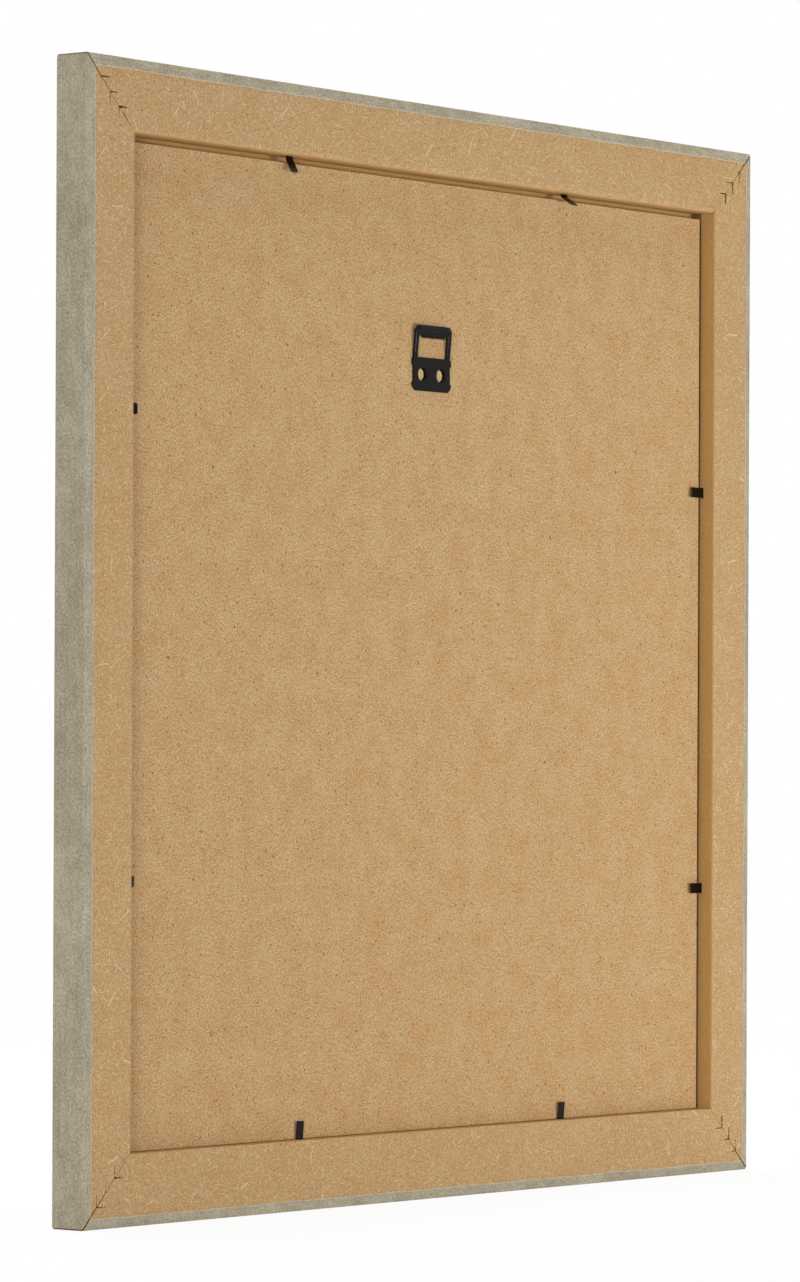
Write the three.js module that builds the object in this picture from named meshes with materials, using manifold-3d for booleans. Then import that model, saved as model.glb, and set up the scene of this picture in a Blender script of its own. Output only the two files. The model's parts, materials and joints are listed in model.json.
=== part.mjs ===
// Square wall picture frame with its fittings on the back.
//
// Four mitred MDF rails, each wrapped in decor foil, are nailed at the corners and hold a pane, an insert
// sheet and a back board in their rebate. Eight flex points keep the board in, and a stamped hanger on the
// board takes the nail in the wall.
//
// Millimetres, +Z up. The picture side faces -Y and the wall side faces +Y. Left and right are as seen from
// the picture side. The origin is the place on the hanger's teeth that rests on the nail.

import * as THREE from 'three';
import { mergeVertices } from 'three/addons/utils/BufferGeometryUtils.js';
import Module from 'manifold-3d';

// Picture format. The rebate is a little larger than it on each side, and the pack of pane, sheet and board
// is cut a little smaller.
const PICTURE_WIDTH = 400;
const PICTURE_HEIGHT = 400;
const REBATE_MARGIN = 0.7;
const PACK_CUT = 1.8;

// Rail section: outer side to rebate wall, front to back, and the lip that the pane lies on.
const RAIL_BACK_WIDTH = 29.3;
const FRAME_DEPTH = 16;
const LIP_WIDTH = 6;
const LIP_THICKNESS = 4.2;
const OUTER_BACK_RADIUS = 0.8;
const OUTER_FRONT_RADIUS = 0.6;
const SIGHT_EDGE_RADIUS = 0.8;
const REBATE_EDGE_RADIUS = 1.2;

// Mitres touch least at the outer corner, where the glue has pulled them open.
const MITRE_GAP_INSIDE = 0.2;
const MITRE_GAP_OUTSIDE = 0.5;

// Decor foil on the rails. The return is what laps onto the back, from the outer side. It was trimmed by
// hand, so each rail has its own.
const FOIL_THICKNESS = 0.25;
const FOIL_RETURN = { left: 3.8, top: 4.6, right: 5.3, bottom: 4.2 };
const GLUE_LINE = 0.05;

// Pack in the rebate, from the lip backwards, with a little air between its layers.
const PANE_THICKNESS = 2;
const PANE_ARRIS = 0.3;
const SHEET_THICKNESS = 0.3;
const BOARD_THICKNESS = 2.5;
const LAYER_GAP = 0.1;

// V-nails across each mitre. The first apex is measured from the outer sides, the last leg from the rebate.
const NAILS_PER_CORNER = 3;
const NAIL_FIRST = 8.5;
const NAIL_INNER_MARGIN = 4.1;
const NAIL_LEG = 5.7;
const NAIL_THICKNESS = 0.35;
const NAIL_HEIGHT = 7;
const NAIL_SINK = 0.5;
const NAIL_CLEARANCE = 0.1;

// Flex points: a strip driven into the rebate wall, bent at a line just outside it.
const POINT_WIDTH = 4.5;
const POINT_THICKNESS = 0.5;
const POINT_SHANK_DEPTH = 7;
const POINT_BARB = 2.5;
const POINT_BEND_OFFSET = 0.7;
const POINT_BOARD_GAP = 0.3;
const POINT_CLEARANCE = 0.15;
const POINT_TIP_RADIUS = 0.7;

// Where each point sits along its rail (right or up is positive), how far its leaf reaches from the rebate
// wall, and how many degrees the leaf is lifted off the board.
const POINTS = [
  { rail: 'top', name: 'top_left', along: -94.4, reach: 7.7, lift: 56 },
  { rail: 'top', name: 'top_right', along: 96.4, reach: 7, lift: 27 },
  { rail: 'bottom', name: 'bottom_left', along: -94.7, reach: 6.9, lift: 5 },
  { rail: 'bottom', name: 'bottom_right', along: 87.2, reach: 6.9, lift: 5 },
  { rail: 'left', name: 'left_upper', along: 75.4, reach: 9.2, lift: 4 },
  { rail: 'left', name: 'left_lower', along: -102.3, reach: 8.7, lift: 4 },
  { rail: 'right', name: 'right_upper', along: 92.8, reach: 7.4, lift: 12 },
  { rail: 'right', name: 'right_lower', along: -94.3, reach: 6.7, lift: 12 },
];

// Hanger, stamped from one sheet: a toothed loop that leans off the board, above a base plate with ears and
// two eyelets drawn down into the board.
const HANGER_DROP = 59.9;
const HANGER_WIDTH = 25.2;
const HANGER_SHEET = 0.8;
const LOOP_RAISE = 1.2;
const LOOP_TOP_BAR = 4.3;
const LOOP_SIDE_BAR = 2.8;
const LOOP_CORNER = 1.9;
const WINDOW_HEIGHT = 9.2;
const WINDOW_CORNER = 1.2;
const TOOTH_COUNT = 9;
const TOOTH_DEPTH = 0.8;
const TOOTH_SIDE_LAND = 0.55;
const BEAD_WIDTH = 1.9;
const BEAD_CREST = 0.5;
const BEAD_HEIGHT = 0.45;
const BEAD_ABOVE_PLATE = 1.7;
const PLATE_HEIGHT = 14.2;
const PLATE_CORNER = 2.1;
const EAR_REACH = 0.75;
const UPPER_EAR_HEIGHT = 3;
const UPPER_EAR_DROP = 0.45;
const LOWER_EAR_HEIGHT = 1.5;
const EYELET_SPACING = 12.8;
const EYELET_ABOVE_EDGE = 7;
const EYELET_BORE_RADIUS = 2.75;
const EYELET_ENTRY_RADIUS = 0.7;
const EYELET_BARREL_WALL = 0.4;
const EYELET_BITE = 1.2;
const EYELET_PRESS = 0.6;
const EYELET_CLEARANCE = 0.15;
const SEAT_GAP = 0.05;

// Curve steps of a rounded edge, of the bead's swell, and round an eyelet.
const ARC_STEPS = 3;
const BEAD_STEPS = 3;
const EYELET_STEPS = 24;

// Sizes worked out from the values above.
const OPENING_WIDTH = PICTURE_WIDTH + 2 * REBATE_MARGIN;
const OPENING_HEIGHT = PICTURE_HEIGHT + 2 * REBATE_MARGIN;
const PACK_WIDTH = PICTURE_WIDTH - PACK_CUT;
const PACK_HEIGHT = PICTURE_HEIGHT - PACK_CUT;
const OUTER_WIDTH = OPENING_WIDTH + 2 * RAIL_BACK_WIDTH;
const OUTER_HEIGHT = OPENING_HEIGHT + 2 * RAIL_BACK_WIDTH;
const RAIL_FRONT_WIDTH = RAIL_BACK_WIDTH + LIP_WIDTH;
const FOIL_SKIN = FOIL_THICKNESS + GLUE_LINE;

// Depths along Y: the foil's back is zero and the front is -FRAME_DEPTH.
const LIP_BACK = LIP_THICKNESS - FRAME_DEPTH;
const PANE_FRONT = LIP_BACK + LAYER_GAP;
const SHEET_FRONT = PANE_FRONT + PANE_THICKNESS + LAYER_GAP;
const BOARD_FRONT = SHEET_FRONT + SHEET_THICKNESS + LAYER_GAP;
const BOARD_BACK = BOARD_FRONT + BOARD_THICKNESS;
const PACK_CENTRE_Z = LAYER_GAP + (PACK_HEIGHT - OPENING_HEIGHT) / 2;

const wasm = await Module();
wasm.setup();

// Finishes, from the photograph.
const mdfRail = { color: 0xc2a374, roughness: 0.85, metalness: 0 };
const concreteFoil = { color: 0xa8a393, roughness: 0.55, metalness: 0 };
const clearGlass = { color: 0xdfe8e4, roughness: 0.05, metalness: 0, transparent: true, opacity: 0.35 };
const plainPaper = { color: 0xf2efe6, roughness: 0.9, metalness: 0 };
const mdfBoard = { color: 0xbe9667, roughness: 0.85, metalness: 0 };
const blackSteel = { color: 0x23211f, roughness: 0.4, metalness: 0.6 };
const brightSteel = { color: 0x8f8a82, roughness: 0.45, metalness: 1 };

function addMesh(parent, name, geometry, finish) {
  const mesh = new THREE.Mesh(geometry, new THREE.MeshStandardMaterial(finish));
  mesh.name = name;
  parent.add(mesh);
  return mesh;
}

// Solid for cutting and joining, from a closed geometry.
function solidOf(geometry) {
  const bare = geometry.clone();
  bare.deleteAttribute('normal');
  bare.deleteAttribute('uv');
  const merged = mergeVertices(bare, 1e-5);
  return new wasm.Manifold(
    new wasm.Mesh({
      numProp: 3,
      vertProperties: new Float32Array(merged.attributes.position.array),
      triVerts: new Uint32Array(merged.index.array),
    }),
  );
}

function geometryOf(solid) {
  const mesh = solid.getMesh();
  const geometry = new THREE.BufferGeometry();
  geometry.setAttribute('position', new THREE.BufferAttribute(new Float32Array(mesh.vertProperties), 3));
  geometry.setIndex(new THREE.BufferAttribute(new Uint32Array(mesh.triVerts), 1));
  geometry.computeVertexNormals();
  return geometry;
}

// Outline pushed along +Z by the given depth.
function extruded(shape, depth, options = {}) {
  const settings = { depth, steps: 1, bevelEnabled: false, curveSegments: ARC_STEPS, ...options };
  return new THREE.ExtrudeGeometry(shape, settings);
}

// Box between two corners.
function boxBetween(low, high) {
  const size = high.map((value, axis) => value - low[axis]);
  const middle = high.map((value, axis) => (value + low[axis]) / 2);
  return new THREE.BoxGeometry(...size).translate(...middle);
}

function outlineOf(points) {
  return new THREE.Shape(points.map(([x, y]) => new THREE.Vector2(x, y)));
}

// Rail sections. x runs inwards from the outer side and y runs backwards, as seen along the rail.

// The stretch of the section that the foil covers, set in by a skin: back return, outer side, front and
// sight edge.
function coveredStretch(skin, foilReturn) {
  const stretch = new THREE.Path();
  const backCentre = new THREE.Vector2(OUTER_BACK_RADIUS, -OUTER_BACK_RADIUS);
  const frontCentre = new THREE.Vector2(OUTER_FRONT_RADIUS, OUTER_FRONT_RADIUS - FRAME_DEPTH);
  const sightX = RAIL_FRONT_WIDTH - SIGHT_EDGE_RADIUS;
  const sightCentre = new THREE.Vector2(sightX, SIGHT_EDGE_RADIUS - FRAME_DEPTH);
  stretch.moveTo(foilReturn, -skin);
  stretch.lineTo(backCentre.x, -skin);
  stretch.absarc(backCentre.x, backCentre.y, OUTER_BACK_RADIUS - skin, Math.PI / 2, Math.PI, false);
  stretch.absarc(frontCentre.x, frontCentre.y, OUTER_FRONT_RADIUS - skin, Math.PI, 1.5 * Math.PI, false);
  stretch.absarc(sightCentre.x, sightCentre.y, SIGHT_EDGE_RADIUS - skin, 1.5 * Math.PI, 2 * Math.PI, false);
  stretch.lineTo(RAIL_FRONT_WIDTH - skin, LIP_BACK);
  return stretch.getPoints(ARC_STEPS);
}

function foilSection(foilReturn) {
  const inside = coveredStretch(FOIL_THICKNESS, foilReturn).reverse();
  return new THREE.Shape([...coveredStretch(0, foilReturn), ...inside]);
}

function railSection(foilReturn) {
  const rebate = new THREE.Path();
  const edge = new THREE.Vector2(RAIL_BACK_WIDTH - REBATE_EDGE_RADIUS, -FOIL_SKIN - REBATE_EDGE_RADIUS);
  rebate.moveTo(RAIL_BACK_WIDTH, LIP_BACK);
  rebate.lineTo(RAIL_BACK_WIDTH, edge.y);
  rebate.absarc(edge.x, edge.y, REBATE_EDGE_RADIUS, 0, Math.PI / 2, false);
  return new THREE.Shape([...coveredStretch(FOIL_SKIN, foilReturn), ...rebate.getPoints(ARC_STEPS)]);
}

// How far an end stops short of the mitre plane, along the rail, at a distance inwards from the outer side.
function mitreCutBack(inwards) {
  const gap = THREE.MathUtils.lerp(MITRE_GAP_OUTSIDE, MITRE_GAP_INSIDE, inwards / RAIL_FRONT_WIDTH);
  return (gap / 2) * Math.SQRT2;
}

// Bar of a section with both ends cut to the mitre.
function mitredBar(section, side) {
  const bar = extruded(section, 1);
  const position = bar.attributes.position;
  for (let i = 0; i < position.count; i += 1) {
    const inwards = position.getX(i);
    const end = position.getZ(i) > 0 ? 1 : -1;
    const along = side.halfLength - inwards - mitreCutBack(inwards);
    position.setXYZ(i, inwards - side.reach, position.getY(i), end * along);
  }
  bar.computeVertexNormals();
  return bar;
}

// V-nails. The apex points at the frame's outer corner, and the legs run along the two rails.

function nailOutline(margin) {
  const tip = NAIL_LEG + margin;
  const inner = NAIL_THICKNESS + margin;
  return outlineOf([
    [-margin, -margin],
    [tip, -margin],
    [tip, inner],
    [inner, inner],
    [inner, tip],
    [-margin, tip],
  ]);
}

function nailApexes() {
  const room = RAIL_BACK_WIDTH - NAIL_FIRST - NAIL_LEG - NAIL_INNER_MARGIN;
  const pitch = room / (NAILS_PER_CORNER - 1);
  return Array.from({ length: NAILS_PER_CORNER }, (_, i) => NAIL_FIRST + i * pitch);
}

// Nail or nail slot at one end of a side, between two depths. end is +1 or -1 along the side.
function nailAt(side, end, apex, margin, back, front) {
  const nail = extruded(nailOutline(margin), back - front);
  nail.rotateX((-end * Math.PI) / 2);
  return nail.translate(apex - side.reach, end > 0 ? front : back, end * (side.halfLength - apex));
}

// Flex points.

const POINT_MIDDLE = BOARD_BACK + POINT_BOARD_GAP + POINT_THICKNESS / 2;

// Shank in the rail, with a pointed end, lying flat: x inwards from the rebate wall, y along the rail.
function shankGeometry() {
  const half = POINT_WIDTH / 2;
  const tip = -POINT_SHANK_DEPTH;
  const outer = POINT_BEND_OFFSET - POINT_THICKNESS / 2 - POINT_CLEARANCE;
  const outline = outlineOf([
    [tip, 0],
    [tip + POINT_BARB, -half],
    [outer, -half],
    [outer, half],
    [tip + POINT_BARB, half],
  ]);
  return extruded(outline, POINT_THICKNESS).translate(0, 0, -POINT_THICKNESS / 2).rotateX(-Math.PI / 2);
}

// Slot that the shank is driven into, open at the rebate wall.
function shankSlot() {
  const half = POINT_WIDTH / 2 + POINT_CLEARANCE;
  const thick = POINT_THICKNESS / 2 + POINT_CLEARANCE;
  const end = -POINT_SHANK_DEPTH - POINT_CLEARANCE;
  return boxBetween([end, -thick, -half], [POINT_BEND_OFFSET, thick, half]);
}

// Leaf with its bend line on Z: a strip with a half-round inner end and rounded tip corners.
function leafGeometry(length) {
  const half = POINT_WIDTH / 2;
  const thick = POINT_THICKNESS / 2;
  const side = new THREE.Shape();
  side.moveTo(length, -thick);
  side.lineTo(length, thick);
  side.absarc(0, 0, thick, Math.PI / 2, 1.5 * Math.PI, false);
  const strip = solidOf(extruded(side, POINT_WIDTH).translate(0, 0, -half));
  const plan = new THREE.Shape();
  plan.moveTo(-POINT_THICKNESS, -half);
  plan.lineTo(length - POINT_TIP_RADIUS, -half);
  plan.absarc(length - POINT_TIP_RADIUS, POINT_TIP_RADIUS - half, POINT_TIP_RADIUS, -Math.PI / 2, 0, false);
  plan.absarc(length - POINT_TIP_RADIUS, half - POINT_TIP_RADIUS, POINT_TIP_RADIUS, 0, Math.PI / 2, false);
  plan.lineTo(-POINT_THICKNESS, half);
  const blank = extruded(plan, 2 * POINT_THICKNESS).translate(0, 0, -POINT_THICKNESS).rotateX(-Math.PI / 2);
  return geometryOf(strip.intersect(solidOf(blank)));
}

// One side of the frame in its own turned group: x inwards, y backwards, z along the side. reach is the
// distance from the frame's centre to the side, and forward says which way along it counts as positive.
const HALF_WIDTH = OUTER_WIDTH / 2;
const HALF_HEIGHT = OUTER_HEIGHT / 2;
const SIDES = {
  left: { turn: 0, reach: HALF_WIDTH, halfLength: HALF_HEIGHT, forward: 1, corner: 'top_left' },
  top: { turn: 1, reach: HALF_HEIGHT, halfLength: HALF_WIDTH, forward: 1, corner: 'top_right' },
  right: { turn: 2, reach: HALF_WIDTH, halfLength: HALF_HEIGHT, forward: -1, corner: 'bottom_right' },
  bottom: { turn: 3, reach: HALF_HEIGHT, halfLength: HALF_WIDTH, forward: -1, corner: 'bottom_left' },
};

function buildSide(name, side) {
  const group = new THREE.Group();
  group.rotation.y = (side.turn * Math.PI) / 2;
  const wall = RAIL_BACK_WIDTH - side.reach;

  // Rail with slots for the V-nails at both ends and for the shanks in the rebate wall.
  let rail = solidOf(mitredBar(railSection(FOIL_RETURN[name]), side));
  const nailFloor = -FOIL_SKIN - NAIL_SINK - NAIL_HEIGHT;
  for (const apex of nailApexes()) {
    for (const end of [-1, 1]) {
      const slot = nailAt(side, end, apex, NAIL_CLEARANCE, NAIL_CLEARANCE, nailFloor - NAIL_CLEARANCE);
      rail = rail.subtract(solidOf(slot));
    }
  }
  const points = POINTS.filter((point) => point.rail === name);
  for (const point of points) {
    const slot = shankSlot().translate(wall, POINT_MIDDLE, side.forward * point.along);
    rail = rail.subtract(solidOf(slot));
  }
  addMesh(group, `rail_${name}`, geometryOf(rail), mdfRail);
  addMesh(group, `foil_${name}`, mitredBar(foilSection(FOIL_RETURN[name]), side), concreteFoil);

  // V-nails of the corner at this side's far end.
  const nailBack = -FOIL_SKIN - NAIL_SINK;
  nailApexes().forEach((apex, i) => {
    const nail = nailAt(side, 1, apex, 0, nailBack, nailFloor);
    addMesh(group, `v_nail_${side.corner}_${i + 1}`, nail, brightSteel);
  });

  // Flex points: fixed shank, and the leaf turned up about its bend line.
  for (const point of points) {
    const shank = addMesh(group, `point_shank_${point.name}`, shankGeometry(), blackSteel);
    shank.position.set(wall, POINT_MIDDLE, side.forward * point.along);
    const strip = leafGeometry(point.reach - POINT_BEND_OFFSET);
    const leaf = addMesh(group, `point_leaf_${point.name}`, strip, blackSteel);
    leaf.position.set(wall + POINT_BEND_OFFSET, POINT_MIDDLE, side.forward * point.along);
    leaf.rotation.z = THREE.MathUtils.degToRad(point.lift);
  }
  return group;
}

// Pack in the rebate. It has dropped onto the bottom rail, so its play is all above it.

function paneGeometry() {
  const halfWidth = PACK_WIDTH / 2 - PANE_ARRIS;
  const halfHeight = PACK_HEIGHT / 2 - PANE_ARRIS;
  const outline = outlineOf([
    [-halfWidth, -halfHeight],
    [halfWidth, -halfHeight],
    [halfWidth, halfHeight],
    [-halfWidth, halfHeight],
  ]);
  const arris = { bevelEnabled: true, bevelSize: PANE_ARRIS, bevelThickness: PANE_ARRIS, bevelSegments: 1 };
  const pane = extruded(outline, PANE_THICKNESS - 2 * PANE_ARRIS, arris);
  return pane.translate(0, 0, PANE_ARRIS).rotateX(-Math.PI / 2);
}

// Hanger. x runs to the left as seen from the wall, y runs up from the plate's lower edge, z off the board.

const WINDOW_TOP = PLATE_HEIGHT + WINDOW_HEIGHT;
const WINDOW_HALF = HANGER_WIDTH / 2 - LOOP_SIDE_BAR;
const LOOP_TOP = WINDOW_TOP + LOOP_TOP_BAR;
const LOOP_LEAN = Math.atan2(LOOP_RAISE, LOOP_TOP - PLATE_HEIGHT);
const CUTTER_REACH = 2 * FRAME_DEPTH;

function mirrored(points) {
  return points.map(([x, y]) => [-x, y]);
}

// Window in the loop: straight foot and sides, rounded upper corners, teeth along the top.
function windowOutline() {
  const corner = new THREE.Vector2(WINDOW_HALF - WINDOW_CORNER, WINDOW_TOP - WINDOW_CORNER);
  const firstTooth = TOOTH_SIDE_LAND - corner.x;
  const pitch = (-2 * firstTooth) / TOOTH_COUNT;
  const window = new THREE.Path();
  window.moveTo(WINDOW_HALF, PLATE_HEIGHT);
  window.lineTo(-WINDOW_HALF, PLATE_HEIGHT);
  window.absarc(-corner.x, corner.y, WINDOW_CORNER, Math.PI, Math.PI / 2, true);
  for (let i = 0; i < TOOTH_COUNT; i += 1) {
    window.lineTo(firstTooth + i * pitch, WINDOW_TOP);
    window.lineTo(firstTooth + (i + 0.5) * pitch, WINDOW_TOP - TOOTH_DEPTH);
  }
  window.lineTo(-firstTooth, WINDOW_TOP);
  window.absarc(corner.x, corner.y, WINDOW_CORNER, Math.PI / 2, 0, true);
  return window;
}

// Flat blank of the hanger: chamfered corners, two pairs of ears, toothed window.
function hangerBlank() {
  const half = HANGER_WIDTH / 2;
  const ear = half + EAR_REACH;
  const lowerEarTop = PLATE_CORNER + LOWER_EAR_HEIGHT;
  const upperEarTop = PLATE_HEIGHT - UPPER_EAR_DROP;
  const side = [
    [ear - PLATE_CORNER, 0],
    [ear, PLATE_CORNER],
    [ear, lowerEarTop],
    [half, lowerEarTop],
    [half, upperEarTop - UPPER_EAR_HEIGHT],
    [ear, upperEarTop - UPPER_EAR_HEIGHT],
    [ear, upperEarTop],
    [half, upperEarTop],
    [half, LOOP_TOP - LOOP_CORNER],
    [half - LOOP_CORNER, LOOP_TOP],
  ];
  const blank = outlineOf([...side, ...mirrored(side).reverse()]);
  blank.holes.push(windowOutline());
  return blank;
}

// The sheet seen edge on: flat plate, then the loop leaning off the board from the foot of the window.
function hangerBend() {
  return outlineOf([
    [0, 0],
    [PLATE_HEIGHT, 0],
    [LOOP_TOP, LOOP_RAISE],
    [LOOP_TOP, LOOP_RAISE + HANGER_SHEET],
    [PLATE_HEIGHT, HANGER_SHEET],
    [0, HANGER_SHEET],
  ]);
}

// Rounded bead pressed up both sides of the loop and over its top, with its lower half left in the sheet.
function hangerBead() {
  const swell = (BEAD_WIDTH - BEAD_CREST) / 2;
  const edge = (LOOP_SIDE_BAR - BEAD_CREST) / 2;
  const outer = HANGER_WIDTH / 2 - edge;
  const top = LOOP_TOP - edge;
  const foot = PLATE_HEIGHT + BEAD_ABOVE_PLATE + swell;
  const side = (inset) => {
    const turn = LOOP_CORNER + inset * Math.tan(Math.PI / 8);
    return [
      [outer - inset, foot],
      [outer - inset, top - turn],
      [outer - turn, top - inset],
    ];
  };
  const outside = [...side(0), ...mirrored(side(0)).reverse()];
  const inside = [...mirrored(side(BEAD_CREST)), ...side(BEAD_CREST).reverse()];
  const rounding = {
    bevelEnabled: true,
    bevelSize: swell,
    bevelThickness: BEAD_HEIGHT,
    bevelSegments: BEAD_STEPS,
  };
  const bead = solidOf(extruded(outlineOf([...outside, ...inside]), HANGER_SHEET, rounding));
  const reach = HANGER_WIDTH / 2;
  const upper = boxBetween([-reach, 0, HANGER_SHEET / 2], [reach, LOOP_TOP, CUTTER_REACH]);
  const leaning = geometryOf(bead.intersect(solidOf(upper))).translate(0, -PLATE_HEIGHT, 0);
  return leaning.rotateX(LOOP_LEAN).translate(0, PLATE_HEIGHT, 0);
}

// Eyelets. A profile of radius and height is turned about the eyelet's axis.

const eyeletCentres = [-EYELET_SPACING / 2, EYELET_SPACING / 2];

function turnedEyelet(profile, centreX) {
  const turned = new THREE.LatheGeometry(profile, EYELET_STEPS).rotateX(Math.PI / 2);
  return turned.translate(centreX, EYELET_ABOVE_EDGE, 0);
}

// Ring round the bore between two heights: the barrel, or the groove that it bites into the board.
function eyeletRing(centreX, inner, outer, low, high) {
  const section = [
    [inner, low],
    [outer, low],
    [outer, high],
    [inner, high],
    [inner, low],
  ];
  return turnedEyelet(section.map(([radius, height]) => new THREE.Vector2(radius, height)), centreX);
}

// Bore with the rounded entry that drawing the sheet down leaves.
function eyeletBore(centreX) {
  const bore = new THREE.Path();
  const entryRadius = EYELET_BORE_RADIUS + EYELET_ENTRY_RADIUS;
  const entry = new THREE.Vector2(entryRadius, HANGER_SHEET - EYELET_ENTRY_RADIUS);
  bore.moveTo(0, -CUTTER_REACH);
  bore.lineTo(EYELET_BORE_RADIUS, -CUTTER_REACH);
  bore.absarc(entry.x, entry.y, EYELET_ENTRY_RADIUS, Math.PI, Math.PI / 2, true);
  bore.lineTo(entry.x, CUTTER_REACH);
  bore.lineTo(0, CUTTER_REACH);
  return turnedEyelet(bore.getPoints(ARC_STEPS), centreX);
}

function hangerGeometry() {
  const reach = HANGER_WIDTH / 2 + EAR_REACH;
  const turned = new THREE.Matrix4().makeBasis(
    new THREE.Vector3(0, 1, 0),
    new THREE.Vector3(0, 0, 1),
    new THREE.Vector3(1, 0, 0),
  );
  const bend = extruded(hangerBend(), 2 * reach).applyMatrix4(turned).translate(-reach, 0, 0);
  const blank = extruded(hangerBlank(), 2 * CUTTER_REACH).translate(0, 0, -CUTTER_REACH);
  let hanger = solidOf(bend).intersect(solidOf(blank)).add(solidOf(hangerBead()));

  // The barrels start thick inside, and the bore is then cut through plate and barrel in one go.
  const inner = EYELET_BORE_RADIUS - EYELET_BARREL_WALL;
  const outer = EYELET_BORE_RADIUS + EYELET_BARREL_WALL;
  for (const centre of eyeletCentres) {
    const barrel = eyeletRing(centre, inner, outer, -EYELET_BITE, HANGER_SHEET / 2);
    hanger = hanger.add(solidOf(barrel)).subtract(solidOf(eyeletBore(centre)));
  }
  return geometryOf(hanger);
}

// The hanger's own axes in the frame: x to the left as seen from the wall, y up, z towards the wall.
const hangerAxes = new THREE.Matrix4().makeBasis(
  new THREE.Vector3(-1, 0, 0),
  new THREE.Vector3(0, 0, 1),
  new THREE.Vector3(0, 1, 0),
);
const hangerFoot = new THREE.Vector3(
  0,
  BOARD_BACK + SEAT_GAP,
  PACK_CENTRE_Z + PACK_HEIGHT / 2 - HANGER_DROP - LOOP_TOP,
);
const raiseAtTeeth = WINDOW_HEIGHT * Math.tan(LOOP_LEAN);
const nailRest = new THREE.Vector3(0, raiseAtTeeth + HANGER_SHEET / 2, WINDOW_TOP).add(hangerFoot);

// Disc that an eyelet has pressed down into the board, inside its barrel.
function pressedDisc(centreX, radius) {
  const section = [
    [0, -EYELET_PRESS],
    [radius, -EYELET_PRESS],
    [radius, EYELET_PRESS],
    [0, EYELET_PRESS],
  ];
  return turnedEyelet(section.map(([across, height]) => new THREE.Vector2(across, height)), centreX);
}

// Back board with a groove for each eyelet barrel, and a pressed disc inside it.
function boardGeometry() {
  let board = solidOf(new THREE.BoxGeometry(PACK_WIDTH, BOARD_THICKNESS, PACK_HEIGHT));
  const depth = EYELET_BITE + EYELET_CLEARANCE;
  const inner = EYELET_BORE_RADIUS - EYELET_CLEARANCE;
  const outer = EYELET_BORE_RADIUS + EYELET_BARREL_WALL + EYELET_CLEARANCE;
  for (const centre of eyeletCentres) {
    const middle = (inner + outer) / 2;
    for (const cutter of [eyeletRing(centre, inner, outer, -depth, depth), pressedDisc(centre, middle)]) {
      cutter.applyMatrix4(hangerAxes).translate(0, BOARD_THICKNESS / 2, hangerFoot.z - PACK_CENTRE_Z);
      board = board.subtract(solidOf(cutter));
    }
  }
  return geometryOf(board);
}

// Whole frame, moved so that the place where the hanger rests on its nail is the origin.
const assembly = new THREE.Group();
assembly.position.copy(nailRest).negate();
for (const [name, side] of Object.entries(SIDES)) {
  assembly.add(buildSide(name, side));
}

const pane = addMesh(assembly, 'glazing_pane', paneGeometry(), clearGlass);
pane.position.set(0, PANE_FRONT, PACK_CENTRE_Z);

const sheetGeometry = new THREE.BoxGeometry(PACK_WIDTH, SHEET_THICKNESS, PACK_HEIGHT);
const sheet = addMesh(assembly, 'insert_sheet', sheetGeometry, plainPaper);
sheet.position.set(0, SHEET_FRONT + SHEET_THICKNESS / 2, PACK_CENTRE_Z);

const board = addMesh(assembly, 'back_board', boardGeometry(), mdfBoard);
board.position.set(0, BOARD_FRONT + BOARD_THICKNESS / 2, PACK_CENTRE_Z);

const hanger = addMesh(assembly, 'sawtooth_hanger', hangerGeometry(), blackSteel);
hanger.quaternion.setFromRotationMatrix(hangerAxes);
hanger.position.copy(hangerFoot);

const pictureFrame = new THREE.Group();
pictureFrame.add(assembly);

export default pictureFrame;
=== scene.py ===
# %% [markdown]
# The back of a wall picture frame.
# The object is a square frame of four MDF rails wrapped in printed foil. A thin MDF board closes its back,
# held by eight bent steel points, and a small stamped hanger sits on the board. The solids of all the
# pieces come ready made, at their real size. This lesson gives them their finish, and makes new meshes
# where the eye wants a softer or a rougher shape than a plain solid has.

import json
import math
import random

import bmesh
import bpy
from mathutils import Matrix, Vector


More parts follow.
